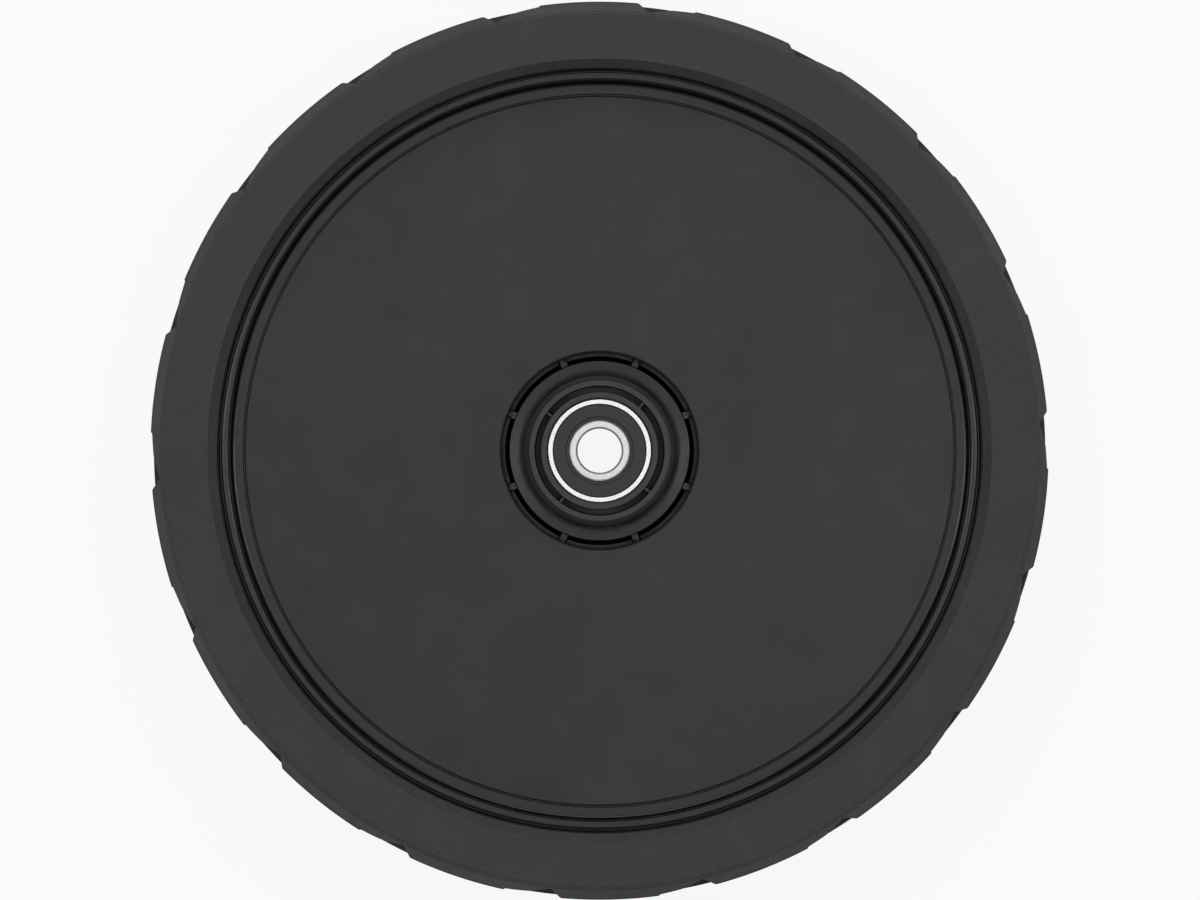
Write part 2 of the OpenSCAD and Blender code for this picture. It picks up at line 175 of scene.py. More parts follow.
def area_normals(points, faces):
    """One unit normal for each point, each face counting by its area."""
    total = np.zeros_like(points)
    for corners in (3, 4):
        some = np.array([f for f in faces if len(f) == corners], int)
        if len(some) == 0:
            continue
        if corners == 3:
            area = np.cross(points[some[:, 1]] - points[some[:, 0]], points[some[:, 2]] - points[some[:, 0]])
        else:
            area = np.cross(points[some[:, 2]] - points[some[:, 0]], points[some[:, 3]] - points[some[:, 1]])
        for k in range(corners):
            np.add.at(total, some[:, k], area)
    return total / np.maximum(np.linalg.norm(total, axis=1, keepdims=True), 1e-20)


def strip_faces(first, count, second, other):
    """Faces between two rings of points, where one ring may have three times the points of the other."""
    a = [first + j % count for j in range(count + 1)]
    b = [second + j % other for j in range(other + 1)]
    if count == other:
        return [(a[j], a[j + 1], b[j + 1], b[j]) for j in range(count)]
    faces = []
    if count > other:
        for j in range(other):
            k = 3 * j
            faces += [(a[k], a[k + 1], b[j]), (a[k + 1], a[k + 2], b[j + 1], b[j]), (a[k + 2], a[k + 3], b[j + 1])]
    else:
        for j in range(count):
            k = 3 * j
            faces += [(a[j], b[k + 1], b[k]), (a[j], a[j + 1], b[k + 2], b[k + 1]), (a[j + 1], b[k + 3], b[k + 2])]
    return faces


def turned(name, rows, angles, body="wheel", coarse=None):
    """A closed ring made of rows that run round its section. Rows marked coarse keep every third column."""
    points, starts, counts = [], [], []
    for i, row in enumerate(rows):
        step = 3 if coarse is not None and coarse[i] else 1
        turn = angles[::step]
        row = np.broadcast_to(row, (len(angles), 2))[::step]
        starts.append(sum(counts))
        counts.append(len(turn))
        points.append(np.column_stack([row[:, 0] * np.cos(turn), row[:, 0] * np.sin(turn), row[:, 1]]))
    points = np.vstack(points) * MM
    faces = []
    for i in range(len(rows)):
        k = (i + 1) % len(rows)
        faces += strip_faces(starts[i], counts[i], starts[k], counts[k])
    piece = new_piece(name, points, faces, body)
    piece.data.normals_split_custom_set_from_vertices(area_normals(points, faces).tolist())
    return piece


def even_angles(count):
    return np.arange(count) * 2 * math.pi / count


def sector(name, outline, middle_deg, width_deg, steps=6):
    """A closed solid: an outline of (r, z) points swept round the axle through an angle."""
    turn = np.radians(middle_deg + np.linspace(-width_deg / 2, width_deg / 2, steps + 1))
    ring = np.array(outline, float)
    points = np.vstack([np.column_stack([ring[:, 0] * math.cos(t), ring[:, 0] * math.sin(t), ring[:, 1]])
                        for t in turn]) * MM
    n = len(outline)
    faces = [(s * n + i, (s + 1) * n + i, (s + 1) * n + (i + 1) % n, s * n + (i + 1) % n)
             for s in range(steps) for i in range(n)]
    faces += [tuple(range(n)), tuple(steps * n + i for i in reversed(range(n)))]
    return loose_solid(name, points, faces)


def loose_solid(name, points, faces):
    """A solid that is only used to be joined to a piece."""
    mesh = bpy.data.meshes.new(name)
    mesh.from_pydata(np.asarray(points).tolist(), [], faces)
    solid = bpy.data.objects.new(name, mesh)
    bpy.context.scene.collection.objects.link(solid)
    return solid


def joined(piece, solids, sharp_deg=32):
    """Unites solids with a piece and keeps its edges crisp above an angle."""
    for solid in solids:
        union = piece.modifiers.new("union", "BOOLEAN")
        union.operation = "UNION"
        union.solver = "MANIFOLD"
        union.object = solid
    graph = bpy.context.evaluated_depsgraph_get()
    mesh = bpy.data.meshes.new_from_object(piece.evaluated_get(graph))
    piece.modifiers.clear()
    mesh.name = piece.name
    piece.data = mesh
    for solid in solids:
        bpy.data.objects.remove(solid)
    mesh.polygons.foreach_set("use_smooth", [True] * len(mesh.polygons))
    mesh.set_sharp_from_angle(angle=math.radians(sharp_deg))
    weighted = piece.modifiers.new("weighted", "WEIGHTED_NORMAL")
    weighted.keep_sharp = True
    return piece


# Tyre


def soft_min(a, b, blend):
    gap = np.maximum(blend - np.abs(a - b), 0)
    return np.minimum(a, b) - gap * gap / (4 * blend)


def soft_max(a, b, blend):
    return -soft_min(-a, -b, blend)


def notch_angles(per_lug):
    """Angles round the tread, closer together where a notch turns a corner."""
    fine = np.linspace(-TAPER_DEG - 4, 360 / LUG_COUNT - TAPER_DEG - 4, 4000)
    density = np.full_like(fine, 1.0)
    for edge, pull, width in ((0, 9, 0.25), (FLANK_DEG, 12, 0.25), (-KNEE_DEG, 2, 0.5), (-TAPER_DEG, 8, 0.2)):
        density += pull / (1 + ((fine - edge) / width) ** 2)
    share = np.cumsum(density)
    share = (share - share[0]) / (share[-1] - share[0])
    return np.interp(np.arange(per_lug) / per_lug, share, fine)


def notch_top(deg):
    """Radius of the tread over one lug, where deg is counted from the root of its notch."""
    steep = ROOT_R + NOTCH_DEPTH * deg / FLANK_DEG
    rise = np.interp(deg, [-TAPER_DEG, -KNEE_DEG, 0], [NOTCH_DEPTH - PAD_H * 0.9, KNEE_RISE, 0])
    slope = KNEE_RISE / KNEE_DEG
    flank = ROOT_R + np.where(deg > 0, -slope * deg, rise)
    top = soft_min(soft_max(steep, flank, 0.25), CROWN_R, 0.3)
    edge = np.clip((-TAPER_DEG - deg) / 0.16 + 0.5, 0, 1)
    return top + (CROWN_R - top) * edge * edge * (3 - 2 * edge)


def tread_corners(top):
    """Half a section of the tread, from the mid-plane to the crease beside the lugs."""
    drop = CROWN_R - top
    step = [(-0.5, 0), (-0.14, 0.02), (-0.03, 0.09), (0.0, 0.22), (0.02, 0.5), (0.04, 0.8), (0.09, 0.93),
            (0.2, 0.985), (0.5, 1)]
    corners = [(CROWN_R - drop * share, BAND_Z + dz, 0, 0) for dz, share in step]
    corners += [(top, z, 0, 0) for z in (8.0, 12.0, 15.5)]
    chamfered = top > LUG_R
    slope = (CREASE_Z - LUG_Z) / (LUG_R - CREASE_R)
    edge_z = np.where(chamfered, LUG_Z - (top - LUG_R), LUG_Z + (LUG_R - top) * slope)
    next_z = np.where(chamfered, LUG_Z, edge_z + 0.12)
    next_z = np.minimum(next_z, CREASE_Z - 0.1)
    corners.append((top, edge_z, 0.3, 4))
    corners.append((LUG_R - (next_z - LUG_Z) / slope, next_z, 0.2, 2))
    middle_z = 0.5 * (next_z + CREASE_Z)
    corners.append((LUG_R - (middle_z - LUG_Z) / slope, middle_z, 0, 0))
    corners.append((CREASE_R, CREASE_Z, 0.08, 2))
    corners.append((WALL_R, CREASE_Z, 0.08, 2))
    return corners


def sidewall_corners():
    """Half a section of the tyre inside the crease: sidewall, bead, seat, key groove and chamber."""
    bead_r = LIP_OUT_R + 1.1
    mouth_z = LIP_Z - 0.45
    groove_r = SEAT_R + KEY_H + 0.1
    chamber_z, chamber_h = 7.0, 9.5
    corners = [
        (WALL_R, WALL_Z, WALL_EDGE, 9),
        (110.0, WALL_Z, 0, 0),
        (bead_r + 2.2, WALL_Z, 0.12, 2),
        (bead_r + 2.2, WALL_Z - 0.2, 0.1, 2),
        (bead_r, mouth_z, 0.3, 3),
        (SEAT_R, LIP_ROOT_Z, 0.3, 1),
        (SEAT_R, KEY_Z[1] + 0.1, 0, 0),
        (groove_r, KEY_Z[1] + 0.1, 0, 0),
        (groove_r, KEY_Z[0] - 0.1, 0, 0),
        (SEAT_R, KEY_Z[0] - 0.1, 0, 0),
        (SEAT_R, chamber_z, 0, 0),
        (SEAT_R + chamber_h, chamber_z, chamber_z, 6),
    ]
    return corners


def tyre():
    """The tyre in one mesh, with three times the columns over the tread."""
    per_lug = COLUMNS * 3 // LUG_COUNT
    relative = notch_angles(per_lug)
    lugs = np.arange(LUG_COUNT) * 360 / LUG_COUNT + LUG_PHASE
    degrees = (lugs[:, None] + relative[None, :]).ravel()
    top = notch_top(np.tile(relative, LUG_COUNT))
    tread, wall = tread_corners(top), sidewall_corners()
    corners = tread + wall + far_side(wall) + far_side(tread)
    rows = rounded(corners)
    outer = [len(rounded(part)) for part in (tread, wall + far_side(wall), far_side(tread))]
    coarse = [False] * outer[0] + [True] * outer[1] + [False] * outer[2]
    piece = turned("tyre_rubber", rows, np.radians(degrees), coarse=coarse)
    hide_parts("tyre")
    return piece


# Rim


def barrel_wall_r(z):
    """Radius of the barrel's inner wall at a height."""
    return BARREL_R + BARREL_DRAFT * (abs(z) - WEB_Z) / (LIP_ROOT_Z - WEB_Z)


def rim_outer_half():
    """Half a section of the rim's outside: seat, key and lip."""
    return [
        (SEAT_R, KEY_Z[0], 0.2, 1), (SEAT_R + KEY_H, KEY_Z[0], 0.3, 2), (SEAT_R + KEY_H, KEY_Z[1], 0.3, 2),
        (SEAT_R, KEY_Z[1], 0.2, 1), (SEAT_R, LIP_ROOT_Z, 0.1, 1), (LIP_OUT_R, LIP_ROOT_Z, 0.1, 1),
        (LIP_OUT_R, LIP_Z, 0.75, 8), (LIP_IN_R, LIP_Z, 0.7, 8), (barrel_wall_r(LIP_ROOT_Z), LIP_ROOT_Z, 1.5, 3),
    ]


def rim_boss_half():
    """Half a section from the web up the boss and down to the stop ring."""
    return [
        (BOSS_ROOT_R - 0.075, WEB_Z, 0.8, 4), (BOSS_R, BOSS_Z, 0.35, 4),
        (CARRIER_R + SEAT_FIT, BOSS_Z - BOSS_DISH, 0.15, 2), (CARRIER_R + SEAT_FIT, WEB_Z, 0, 0),
        (STOP_R, WEB_Z, 0.1, 1),
    ]


def rim_section():
    ledge_top_z = LEDGE_Z + LEDGE_ROUND
    near_inside = [
        (barrel_wall_r(ledge_top_z), LEDGE_Z, LEDGE_ROUND, 6), (REBATE_R, LEDGE_Z, 0.12, 2),
        (REBATE_R, COVER_UNDER_Z, 0.1, 1), (SHELF_R, COVER_UNDER_Z, 0.15, 2), (SHELF_R, SHELF_Z, 0.15, 2),
        (barrel_wall_r(SHELF_Z), SHELF_Z, 0.3, 2), (BARREL_R, WEB_Z, 0.8, 4),
    ]
    far_inside = [(BARREL_R, -WEB_Z, 0.8, 4)]
    return (rim_outer_half() + near_inside + rim_boss_half() + far_side(rim_boss_half()) + far_inside
            + far_side(rim_outer_half()))


def rib(name, side, angle_deg):
    """A rib on one side of the web: a level land by the boss, a fall to the barrel, and a chamfered top."""
    land = RIB_LAND[side]
    inner, outer = CARRIER_R + 0.6, BARREL_R + BARREL_DRAFT
    knee = HOLE_R + COLLAR_W + RIB_T / 2
    chamfer = 0.35
    half = RIB_T / 2
    outline = [(inner, 0, 0), (outer, 0, 0), (outer, 0, land - RIB_FALL), (knee, 0, land), (inner, 0, land)]
    low = [(x, half, z - (chamfer if z else 0)) for x, _, z in outline]
    top = [(x, half - chamfer, z) for x, _, z in outline[2:]]
    points = low + top
    points += [(x, -y, z) for x, y, z in points]
    n = len(low) + len(top)
    faces = [(0, 1, 2, 3, 4), (4, 3, 6, 7), (3, 2, 5, 6), (2, 1, n + 1, n + 2), (5, 2, n + 2, n + 5),
             (0, 4, n + 4, n), (4, 7, n + 7, n + 4), (6, 5, n + 5, n + 6), (7, 6, n + 6, n + 7),
             (1, 0, n, n + 1), (n + 4, n + 3, n + 2, n + 1, n), (n + 7, n + 6, n + 3, n + 4),
             (n + 6, n + 5, n + 2, n + 3)]
    turn = math.radians(angle_deg)
    spun = [(x * math.cos(turn) - y * math.sin(turn), x * math.sin(turn) + y * math.cos(turn), z * SIDES[side])
            for x, y, z in points]
    if side == "near":
        faces = [tuple(reversed(f)) for f in faces]
    return loose_solid(name, np.array(spun) * MM, faces)


def rim():
    piece = turned("rim_moulding", rounded(rim_section()), even_angles(COLUMNS))
    ribs = [rib(f"rib_{side}_{i}", side, (i + 0.5) * 360 / RIB_COUNT) for side in SIDES for i in range(RIB_COUNT)]
    joined(piece, ribs)
    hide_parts("rim")
    return piece


# Cover disc


def cover_disc():
    section = [
        (COVER_R, COVER_UNDER_Z, 0.15, 2), (COVER_R, COVER_Z - COVER_BEVEL, 0.12, 2),
        (COVER_R - COVER_BEVEL, COVER_Z, 0.12, 2), (HOLE_R, COVER_Z, 0.7, 6),
        (HOLE_R, RIB_LAND["near"], 0.2, 2), (HOLE_R + COLLAR_W, RIB_LAND["near"], 0.2, 2),
        (HOLE_R + COLLAR_W, COVER_UNDER_Z, 0.5, 3),
    ]
    piece = turned("cover_moulding", rounded(section), even_angles(COLUMNS))
    hook_r, hook_top = SHELF_R - SEAT_FIT, COVER_Z - COVER_BEVEL - 0.3
    barb_z = SHELF_Z - 0.1
    outline = [(hook_r, hook_top), (hook_r - HOOK_T, hook_top), (hook_r - HOOK_T, barb_z - BARB_H),
               (hook_r, barb_z - BARB_H), (hook_r + BARB_W, barb_z - BARB_H / 4), (hook_r + BARB_W, barb_z),
               (hook_r, barb_z)]
    hooks = [sector(f"hook_{i}", outline, i * 360 / HOOK_COUNT, HOOK_DEG) for i in range(HOOK_COUNT)]
    joined(piece, hooks)
    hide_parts("cover_disc")
    return piece


# Bearing carriers

SEAT_OUT_R = BEARING_R + 1.65
SLOT_R = SEAT_OUT_R + 1.65
SLOT_DEPTH = 8.5
STEM_R = 11.75
STEM_WALL = 2.2
BRIDGE_DIRS = (47.4, 144.1, 232.4, 320.5)
BRIDGE_T = 0.5
BRIDGE_DROP = 0.3


def carrier_section():
    chamfer_r, groove_r = CARRIER_R - 0.875, CARRIER_R - 1.25
    floor_z = BEARING_BACK_Z - 3.0
    slot_z = HUB_Z - SLOT_DEPTH
    return [
        (CARRIER_R, WEB_Z, 0.1, 1), (CARRIER_R, HUB_Z - 1.25, 0.2, 2), (chamfer_r, HUB_Z - 0.24, 0.05, 1),
        (chamfer_r, HUB_Z - 0.3, 0, 0), (groove_r, HUB_Z - 0.3, 0, 0), (groove_r, HUB_Z, 0.12, 3),
        (SLOT_R, HUB_Z, 0.15, 3), (SLOT_R, slot_z, 0.2, 1), (SEAT_OUT_R, slot_z, 0.2, 1),
        (SEAT_OUT_R, HUB_Z, 0.18, 3), (BEARING_R + SEAT_FIT, HUB_Z, 0.3, 3),
        (BEARING_R + SEAT_FIT, BEARING_BACK_Z, 0, 0), (STEM_R, BEARING_BACK_Z, 0.1, 1), (STEM_R, WEB_Z, 0.1, 1),
        (STEM_R + STEM_WALL, WEB_Z, 0.1, 1), (STEM_R + STEM_WALL, floor_z, 0.3, 1),
        (CARRIER_R - STEM_WALL, floor_z, 0.3, 1), (CARRIER_R - STEM_WALL, WEB_Z, 0.1, 1),
    ]


def bridge(name, side, angle_deg):
    """One thin bridge across the slot ring."""
    inner, outer = SEAT_OUT_R - 0.4, SLOT_R + 0.4
    low, top = HUB_Z - SLOT_DEPTH - 0.7, HUB_Z - BRIDGE_DROP
    turn = math.radians(angle_deg)
    points = []
    for z in (low, top):
        for x, y in ((inner, -BRIDGE_T / 2), (outer, -BRIDGE_T / 2), (outer, BRIDGE_T / 2), (inner, BRIDGE_T / 2)):
            points.append((x * math.cos(turn) - y * math.sin(turn), x * math.sin(turn) + y * math.cos(turn),
                           z * SIDES[side]))
    faces = [(3, 2, 1, 0), (4, 5, 6, 7), (0, 1, 5, 4), (1, 2, 6, 5), (2, 3, 7, 6), (3, 0, 4, 7)]
    if side == "far":
        faces = [tuple(reversed(f)) for f in faces]
    return loose_solid(name, np.array(points) * MM, faces)


def carrier(side):
    section = carrier_section() if side == "near" else far_side(carrier_section())
    piece = turned(f"{side}_carrier_sleeve", rounded(section), even_angles(SMALL_COLUMNS))
    joined(piece, [bridge(f"bridge_{side}_{i}", side, d) for i, d in enumerate(BRIDGE_DIRS)])
    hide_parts(f"{side}_carrier")
    return piece


# Bearings

HALF_W = (BEARING_TOP_Z - BEARING_BACK_Z) / 2
BEARING_MID_Z = (BEARING_TOP_Z + BEARING_BACK_Z) / 2
BORE_R = 6.0
PITCH_R = (BORE_R + BEARING_R) / 2
RACE_R = 2.441
INNER_SHOULDER_R = PITCH_R - 1.6
OUTER_SHOULDER_R = PITCH_R + 1.75
LIP_LAND_R = INNER_SHOULDER_R - 0.57
RECESS_R = BEARING_R - 1.5
RING_CHAMFER = 0.37
SEAL_TOP_Z = HALF_W - 0.25
SEAL_UNDER_Z = SEAL_TOP_Z - 0.7
SHOULDER_Z = SEAL_UNDER_Z - 0.1
SEAL_LIP_T = 0.3


def race(shoulder_r, outward, steps=12):
    """The rounded groove that the balls run in, from top to bottom or back."""
    reach = math.asin(min(1, math.sqrt(RACE_R ** 2 - (shoulder_r - PITCH_R) ** 2) / RACE_R))
    turn = np.linspace(reach, -reach, steps) if outward else np.linspace(-reach, reach, steps)
    sign = 1 if outward else -1
    return [(PITCH_R + sign * RACE_R * math.cos(t), RACE_R * math.sin(t), 0, 0) for t in turn]


def outer_ring_section():
    top = [
        (BEARING_R, HALF_W - RING_CHAMFER, 0.1, 2), (BEARING_R - RING_CHAMFER, HALF_W, 0.1, 2),
        (RECESS_R, HALF_W, 0.1, 2), (RECESS_R, SHOULDER_Z + 0.52, 0.04, 1),
        (RECESS_R + 0.32, SHOULDER_Z + 0.52, 0, 0), (RECESS_R + 0.32, SHOULDER_Z, 0, 0),
        (OUTER_SHOULDER_R, SHOULDER_Z, 0.1, 1),
    ]
    return top + race(OUTER_SHOULDER_R, True) + far_side(top)


def inner_ring_section():
    top = [
        (INNER_SHOULDER_R, SHOULDER_Z, 0.05, 1), (LIP_LAND_R, SHOULDER_Z, 0.05, 1), (LIP_LAND_R, HALF_W, 0.12, 2),
        (BORE_R + RING_CHAMFER, HALF_W, 0.08, 2), (BORE_R, HALF_W - RING_CHAMFER, 0.1, 2),
    ]
    return top + far_side(top) + race(INNER_SHOULDER_R, False)


def seal_section():
    lip_r, bead_r = LIP_LAND_R + 0.2, RECESS_R + 0.3
    face_r, edge_r = lip_r + 0.9, RECESS_R - SEAT_FIT
    return [
        (bead_r, SEAL_UNDER_Z, 0.08, 1), (bead_r, SEAL_UNDER_Z + 0.4, 0.08, 1),
        (edge_r, SEAL_UNDER_Z + 0.41, 0.02, 1), (edge_r - SEAL_LIP_T, SEAL_TOP_Z, 0.15, 3),
        (face_r + 0.2, SEAL_TOP_Z, 0.15, 3), (face_r, SEAL_UNDER_Z + SEAL_LIP_T, 0.1, 2),
        (lip_r, SEAL_UNDER_Z + SEAL_LIP_T, 0.08, 2), (lip_r, SEAL_UNDER_Z, 0.05, 1),
    ]


def bearing_part(side, node, section, body, flipped=False):
    """A turned bearing part at its place on one side; flipped turns it over in its own bearing."""
    section = far_side(section) if flipped else section
    section = shifted(section, BEARING_MID_Z)
    section = far_side(section) if side == "far" else section
    piece = turned(f"{side}_{node}_turned", rounded(section), even_angles(SMALL_COLUMNS), body)
    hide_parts(f"{side}_{node}")
    return piece


def bearing(side):
    return {
        "outer": bearing_part(side, "outer_ring", outer_ring_section(), "wheel"),
        "inner": bearing_part(side, "inner_ring", inner_ring_section(), f"{side}_ring"),
        "seal": bearing_part(side, "seal_outboard", seal_section(), "wheel"),
        "seal_in": bearing_part(side, "seal_inboard", seal_section(), "wheel", flipped=True),
    }


def spacer_tube():
    end_z, inner, outer = BEARING_BACK_Z - 0.05, BORE_R + 0.3, BORE_R + 1.8
    section = [(outer, end_z, 0.15, 2), (inner, end_z, 0.15, 2), (inner, -end_z, 0.15, 2), (outer, -end_z, 0.15, 2)]
    piece = turned("spacer_turned", rounded(section), even_angles(SMALL_COLUMNS), "near_ring")
    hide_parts("spacer_tube")
    return piece


# Materials


class Shader:
    """A material's node tree, with short ways to add and join nodes."""

    def __init__(self, name):
        self.material = bpy.data.materials.new(name)
        self.material.use_nodes = True
        self.tree = self.material.node_tree
        self.bsdf = self.tree.nodes["Principled BSDF"]
        self.place = self.add("ShaderNodeTexCoord").outputs["Object"]

    def add(self, kind, **settings):
        node = self.tree.nodes.new(kind)
        for key, value in settings.items():
            setattr(node, key, value)
        return node

    def join(self, value, socket):
        """Sets a socket to a value, or links it to another node's output."""
        if isinstance(value, bpy.types.NodeSocket):
            self.tree.links.new(value, socket)
        elif value is not None:
            socket.default_value = value

    def math(self, operation, a, b=None, c=None, clamp=False):
        node = self.add("ShaderNodeMath", operation=operation, use_clamp=clamp)
        for value, socket in zip((a, b, c), node.inputs):
            self.join(value, socket)
        return node.outputs[0]

    def vector_math(self, operation, a, b=None):
        node = self.add("ShaderNodeVectorMath", operation=operation)
        self.join(a, node.inputs[0])
        self.join(b, node.inputs[1])
        return node.outputs["Value"] if operation in ("LENGTH", "DISTANCE", "DOT_PRODUCT") else node.outputs[0]

    def spread(self, value, low, high, out_low=0.0, out_high=1.0, smooth=True):
        """Maps a value from one range to another, clamped."""
        node = self.add("ShaderNodeMapRange", interpolation_type="SMOOTHSTEP" if smooth else "LINEAR")
        for v, socket in zip((value, low, high, out_low, out_high), node.inputs):
            self.join(v, socket)
        return node.outputs[0]

    def noise(self, size_mm, detail=2.0, rough=0.5, vector=None, distortion=0.0):
        """Noise between 0 and 1, whose blobs have a size in millimetres."""
        node = self.add("ShaderNodeTexNoise")
        self.join(self.place if vector is None else vector, node.inputs["Vector"])
        node.inputs["Scale"].default_value = 1 / (size_mm * MM)
        node.inputs["Detail"].default_value = detail
        node.inputs["Roughness"].default_value = rough
        node.inputs["Distortion"].default_value = distortion
        return node.outputs[0]

    def cells(self, size_mm, vector=None, feature="F1"):
        """Distance to the nearest point of a random scatter, in cells."""
        node = self.add("ShaderNodeTexVoronoi", feature=feature)
        self.join(self.place if vector is None else vector, node.inputs["Vector"])
        node.inputs["Scale"].default_value = 1 / (size_mm * MM)
        return node.outputs["Distance"]

    def blend(self, factor, a, b):
        """Mixes two colours."""
        node = self.add("ShaderNodeMix", data_type="RGBA")
        self.join(factor, node.inputs["Factor"])
        self.join(colour(a), node.inputs["A"])
        self.join(colour(b), node.inputs["B"])
        return node.outputs["Result"]

    def tint(self, base, factor):
        """A colour multiplied by a number."""
        node = self.add("ShaderNodeMix", data_type="RGBA", blend_type="MULTIPLY")
        node.inputs["Factor"].default_value = 1.0
        self.join(colour(base), node.inputs["A"])
        grey = self.add("ShaderNodeCombineColor")
        for socket in grey.inputs:
            self.join(factor, socket)
        self.join(grey.outputs[0], node.inputs["B"])
        return node.outputs["Result"]

    def radius_mm(self):
        """Distance from the axle line, in millimetres."""
        flat = self.vector_math("MULTIPLY", self.place, (1, 1, 0))
        return self.math("MULTIPLY", self.vector_math("LENGTH", flat), 1 / MM)

    def polar(self, around_mm, along_mm, near_r_mm):
        """Coordinates that run round the axle and out from it, so that noise becomes arcs or spokes."""
        split = self.add("ShaderNodeSeparateXYZ")
        self.join(self.place, split.inputs[0])
        angle = self.math("ARCTAN2", split.outputs[1], split.outputs[0])
        joined_up = self.add("ShaderNodeCombineXYZ")
        self.join(self.math("MULTIPLY", angle, near_r_mm / around_mm), joined_up.inputs[0])
        self.join(self.math("DIVIDE", self.radius_mm(), along_mm), joined_up.inputs[1])
        return joined_up.outputs[0]

    def bump(self, height, depth_mm, normal=None, strength=1.0):
        node = self.add("ShaderNodeBump")
        node.inputs["Strength"].default_value = strength
        node.inputs["Distance"].default_value = depth_mm * MM
        self.join(height, node.inputs["Height"])
        self.join(normal, node.inputs["Normal"])
        return node.outputs[0]

    def finish(self, base, roughness, normal=None, metallic=0.0, specular=0.5, coat=None):
        self.join(colour(base), self.bsdf.inputs["Base Color"])
        self.join(roughness, self.bsdf.inputs["Roughness"])
        self.join(normal, self.bsdf.inputs["Normal"])
        self.bsdf.inputs["Metallic"].default_value = metallic
        self.bsdf.inputs["Specular IOR Level"].default_value = specular
        return self.material


def colour(value):
    """A three-part colour gets its fourth part; anything else passes through."""
    if isinstance(value, tuple) and len(value) == 3:
        return (*value, 1.0)
    return value


def rubber_material():
    s = Shader("tyre_rubber")
    grain = s.noise(0.55, detail=3, rough=0.6)
    broad = s.noise(38, detail=3)
    dust = s.spread(s.noise(14, detail=5, rough=0.6), 0.45, 0.75)
    base = s.blend(s.math("MULTIPLY", dust, 0.35), (0.040, 0.040, 0.039), (0.060, 0.057, 0.052))
    base = s.tint(base, s.spread(broad, 0.3, 0.7, 0.9, 1.12))
    base = s.tint(base, s.spread(grain, 0.3, 0.7, 0.8, 1.2))
    rough = s.spread(broad, 0.3, 0.7, 0.58, 0.72)
    normal = s.bump(grain, 0.12)
    return s.finish(base, rough, normal, specular=0.45)


def gloss_material():
    s = Shader("rim_gloss_plastic")
    smear = s.noise(9, detail=4, rough=0.6)
    specks = s.spread(s.cells(4.2), 0.0, 0.045, 1.0, 0.0)
    base = s.blend(s.math("MULTIPLY", specks, 0.8), (0.006, 0.006, 0.006), (0.12, 0.12, 0.11))
    rough = s.spread(smear, 0.35, 0.75, 0.16, 0.3)
    normal = s.bump(s.noise(2.5, detail=2), 0.02)
    return s.finish(base, rough, normal, specular=0.45)


def cover_material():
    s = Shader("cover_satin_plastic")
    broad = s.noise(55, detail=4, rough=0.55)
    mottle = s.noise(11, detail=5, rough=0.65)
    base = s.tint((0.0255, 0.0250, 0.0235), s.spread(broad, 0.3, 0.7, 0.88, 1.12))
    base = s.tint(base, s.spread(mottle, 0.35, 0.75, 0.97, 1.06))
    rough = s.spread(mottle, 0.3, 0.7, 0.42, 0.52)
    normal = s.bump(s.noise(0.35, detail=2), 0.006)
    return s.finish(base, rough, normal, specular=0.4)


def carrier_material():
    s = Shader("carrier_satin_plastic")
    turning = s.noise(1.0, detail=3, vector=s.polar(9.0, 0.12, 17.0))
    base = s.tint((0.030, 0.030, 0.029), s.spread(turning, 0.3, 0.7, 0.85, 1.15))
    normal = s.bump(turning, 0.012)
    return s.finish(base, 0.42, normal, specular=0.45)


def steel_material(name, base_value, rough_low, rough_high):
    s = Shader(name)
    turning = s.noise(1.0, detail=3, vector=s.polar(6.0, 0.05, 10.0))
    mottle = s.noise(0.6, detail=4, rough=0.7)
    base = s.tint(base_value, s.spread(turning, 0.3, 0.7, 0.88, 1.08))
    base = s.tint(base, s.spread(mottle, 0.3, 0.7, 0.9, 1.08))
    rough = s.spread(mottle, 0.3, 0.7, rough_low, rough_high)
    normal = s.bump(turning, 0.004)
    return s.finish(base, rough, normal, metallic=1.0)


def seal_material():
    s = Shader("seal_rubber")
    turning = s.noise(1.0, detail=2, vector=s.polar(20.0, 0.1, 10.0))
    base = s.tint((0.036, 0.036, 0.036), s.spread(turning, 0.3, 0.7, 0.9, 1.12))
    normal = s.bump(turning, 0.006)
    return s.finish(base, 0.55, normal, specular=0.4)


def paint(piece, material):
    piece.data.materials.clear()
    piece.data.materials.append(material)


def paint_node(node, material):
    """Gives a CAD node that stays on show a material of the scene's."""
    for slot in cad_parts[node].material_slots:
        slot.material = material


# Stage


def stage_material(name):
    """A white floor that keeps the object's shadow."""
    s = Shader(name)
    s.finish((0.86, 0.86, 0.86), 0.7, specular=0.2)
    path = s.add("ShaderNodeLightPath")
    seen = s.math("ADD", path.outputs["Is Camera Ray"], path.outputs["Is Glossy Ray"], clamp=True)
    seen = s.math("ADD", seen, path.outputs["Is Transmission Ray"], clamp=True)
    white = s.add("ShaderNodeEmission")
    white.inputs["Strength"].default_value = 1.0
    mix = s.add("ShaderNodeMixShader")
    s.join(s.math("MULTIPLY", seen, 0.9), mix.inputs[0])
    s.join(s.bsdf.outputs[0], mix.inputs[1])
    s.join(white.outputs[0], mix.inputs[2])
    clear = s.add("ShaderNodeBsdfTransparent")
    under = s.add("ShaderNodeMixShader")
    s.join(s.add("ShaderNodeNewGeometry").outputs["Backfacing"], under.inputs[0])
    s.join(mix.outputs[0], under.inputs[1])
    s.join(clear.outputs[0], under.inputs[2])
    s.join(under.outputs[0], s.tree.nodes["Material Output"].inputs["Surface"])
    return s.material


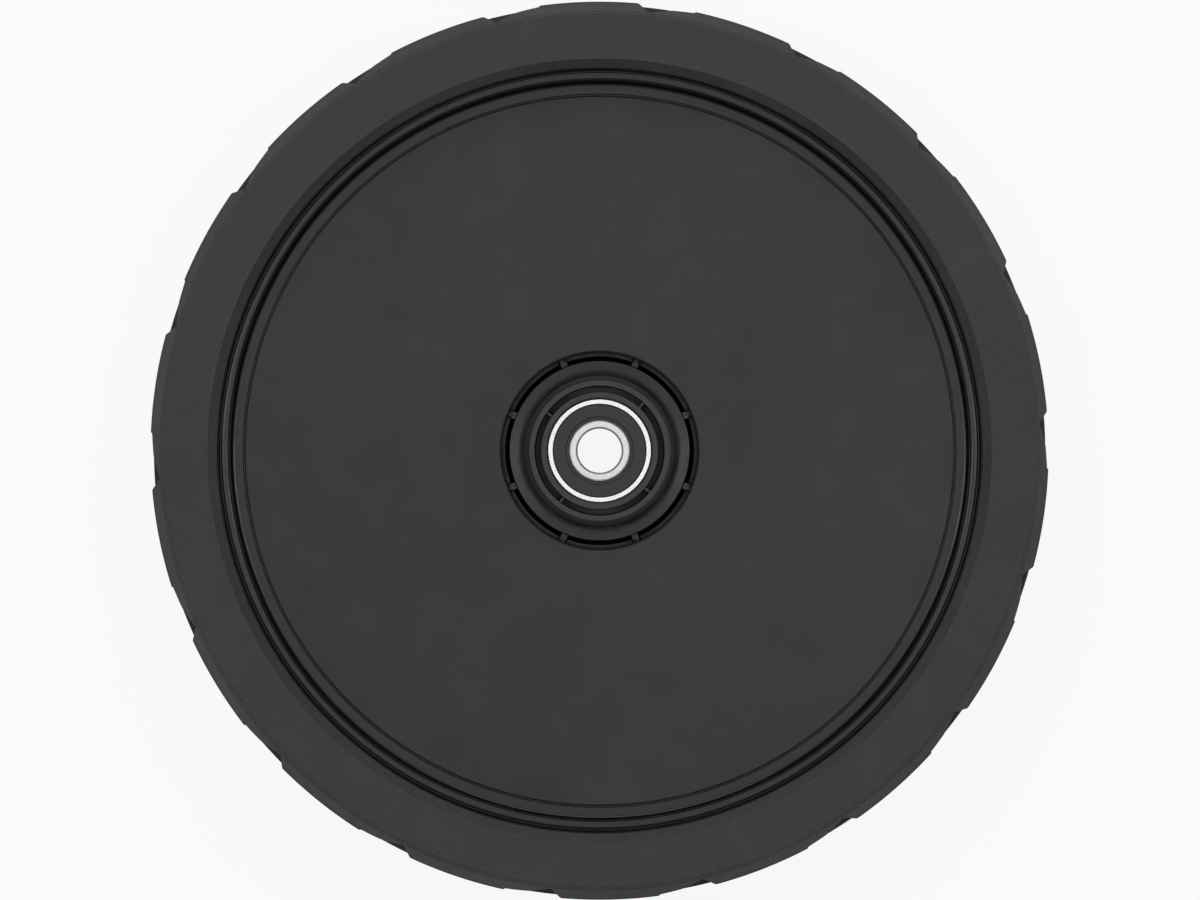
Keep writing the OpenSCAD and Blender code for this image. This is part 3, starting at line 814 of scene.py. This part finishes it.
def floor():
    reach = 20.0
    mesh = bpy.data.meshes.new("floor")
    z = -WALL_Z * MM
    mesh.from_pydata([(-reach, -reach, z), (reach, -reach, z), (reach, reach, z), (-reach, reach, z)], [],
                     [(0, 1, 2, 3)])
    piece = bpy.data.objects.new("floor", mesh)
    bpy.context.scene.collection.objects.link(piece)
    paint(piece, stage_material("floor_white"))


def area_lamp(name, place, width, length, radiance, spin=0.0):
    """A soft panel that faces the wheel, with the radiance that a mirror would show of it."""
    data = bpy.data.lights.new(name, "AREA")
    data.shape = "RECTANGLE"
    data.size, data.size_y = width, length
    data.energy = radiance * math.pi * width * length
    lamp = bpy.data.objects.new(name, data)
    bpy.context.scene.collection.objects.link(lamp)
    lamp.location = place
    aim = (-lamp.location).to_track_quat("-Z", "Y")
    lamp.rotation_mode = "QUATERNION"
    lamp.rotation_quaternion = aim
    return lamp


def lights():
    world = bpy.data.worlds.new("studio")
    bpy.context.scene.world = world
    world.use_nodes = True
    world.node_tree.nodes["Background"].inputs["Color"].default_value = (1, 1, 1, 1)
    world.node_tree.nodes["Background"].inputs["Strength"].default_value = 0.32
    area_lamp("overhead", (0, 0.1, 2.1), 1.5, 1.5, 0.7)
    area_lamp("strip_left", (-0.85, 0.1, 1.55), 0.25, 1.2, 3.2)
    area_lamp("strip_right", (0.85, 0.1, 1.55), 0.25, 1.2, 3.2)
    area_lamp("key_top", (0, 1.5, 1.0), 1.6, 0.9, 1.6)


CAMERA_HEIGHT = 1.6
LENS_MM = 177.8
SENSOR_MM = 36.0
CAMERA_OFFSET = (0.00011, 0.00019)


def camera():
    data = bpy.data.cameras.new("camera")
    data.lens = LENS_MM
    data.sensor_width = SENSOR_MM
    data.clip_start, data.clip_end = 0.05, 100.0
    piece = bpy.data.objects.new("camera", data)
    piece.location = (*CAMERA_OFFSET, CAMERA_HEIGHT)
    bpy.context.scene.collection.objects.link(piece)
    bpy.context.scene.camera = piece


def build():
    rubber, gloss, cover_finish, sleeve = rubber_material(), gloss_material(), cover_material(), carrier_material()
    steel = steel_material("ring_steel", (0.66, 0.66, 0.64), 0.28, 0.4)
    bright = steel_material("ring_steel_bright", (0.8, 0.8, 0.79), 0.22, 0.34)
    pressed = steel_material("cage_steel", (0.45, 0.43, 0.38), 0.3, 0.45)
    polished = steel_material("ball_steel", (0.75, 0.75, 0.75), 0.06, 0.12)
    seal_finish = seal_material()
    paint(tyre(), rubber)
    paint(rim(), gloss)
    paint(cover_disc(), cover_finish)
    for side in SIDES:
        paint(carrier(side), sleeve)
        parts = bearing(side)
        paint(parts["outer"], bright)
        paint(parts["inner"], steel)
        paint(parts["seal"], seal_finish)
        paint(parts["seal_in"], seal_finish)
        for half in ("cage_outboard", "cage_inboard", "cage_rivets"):
            paint_node(f"{side}_{half}", pressed)
        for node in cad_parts:
            if node.startswith(f"{side}_ball_"):
                paint_node(node, polished)
    paint(spacer_tube(), pressed)


build()
floor()
lights()
camera()
bpy.context.scene.view_settings.view_transform = "Standard"
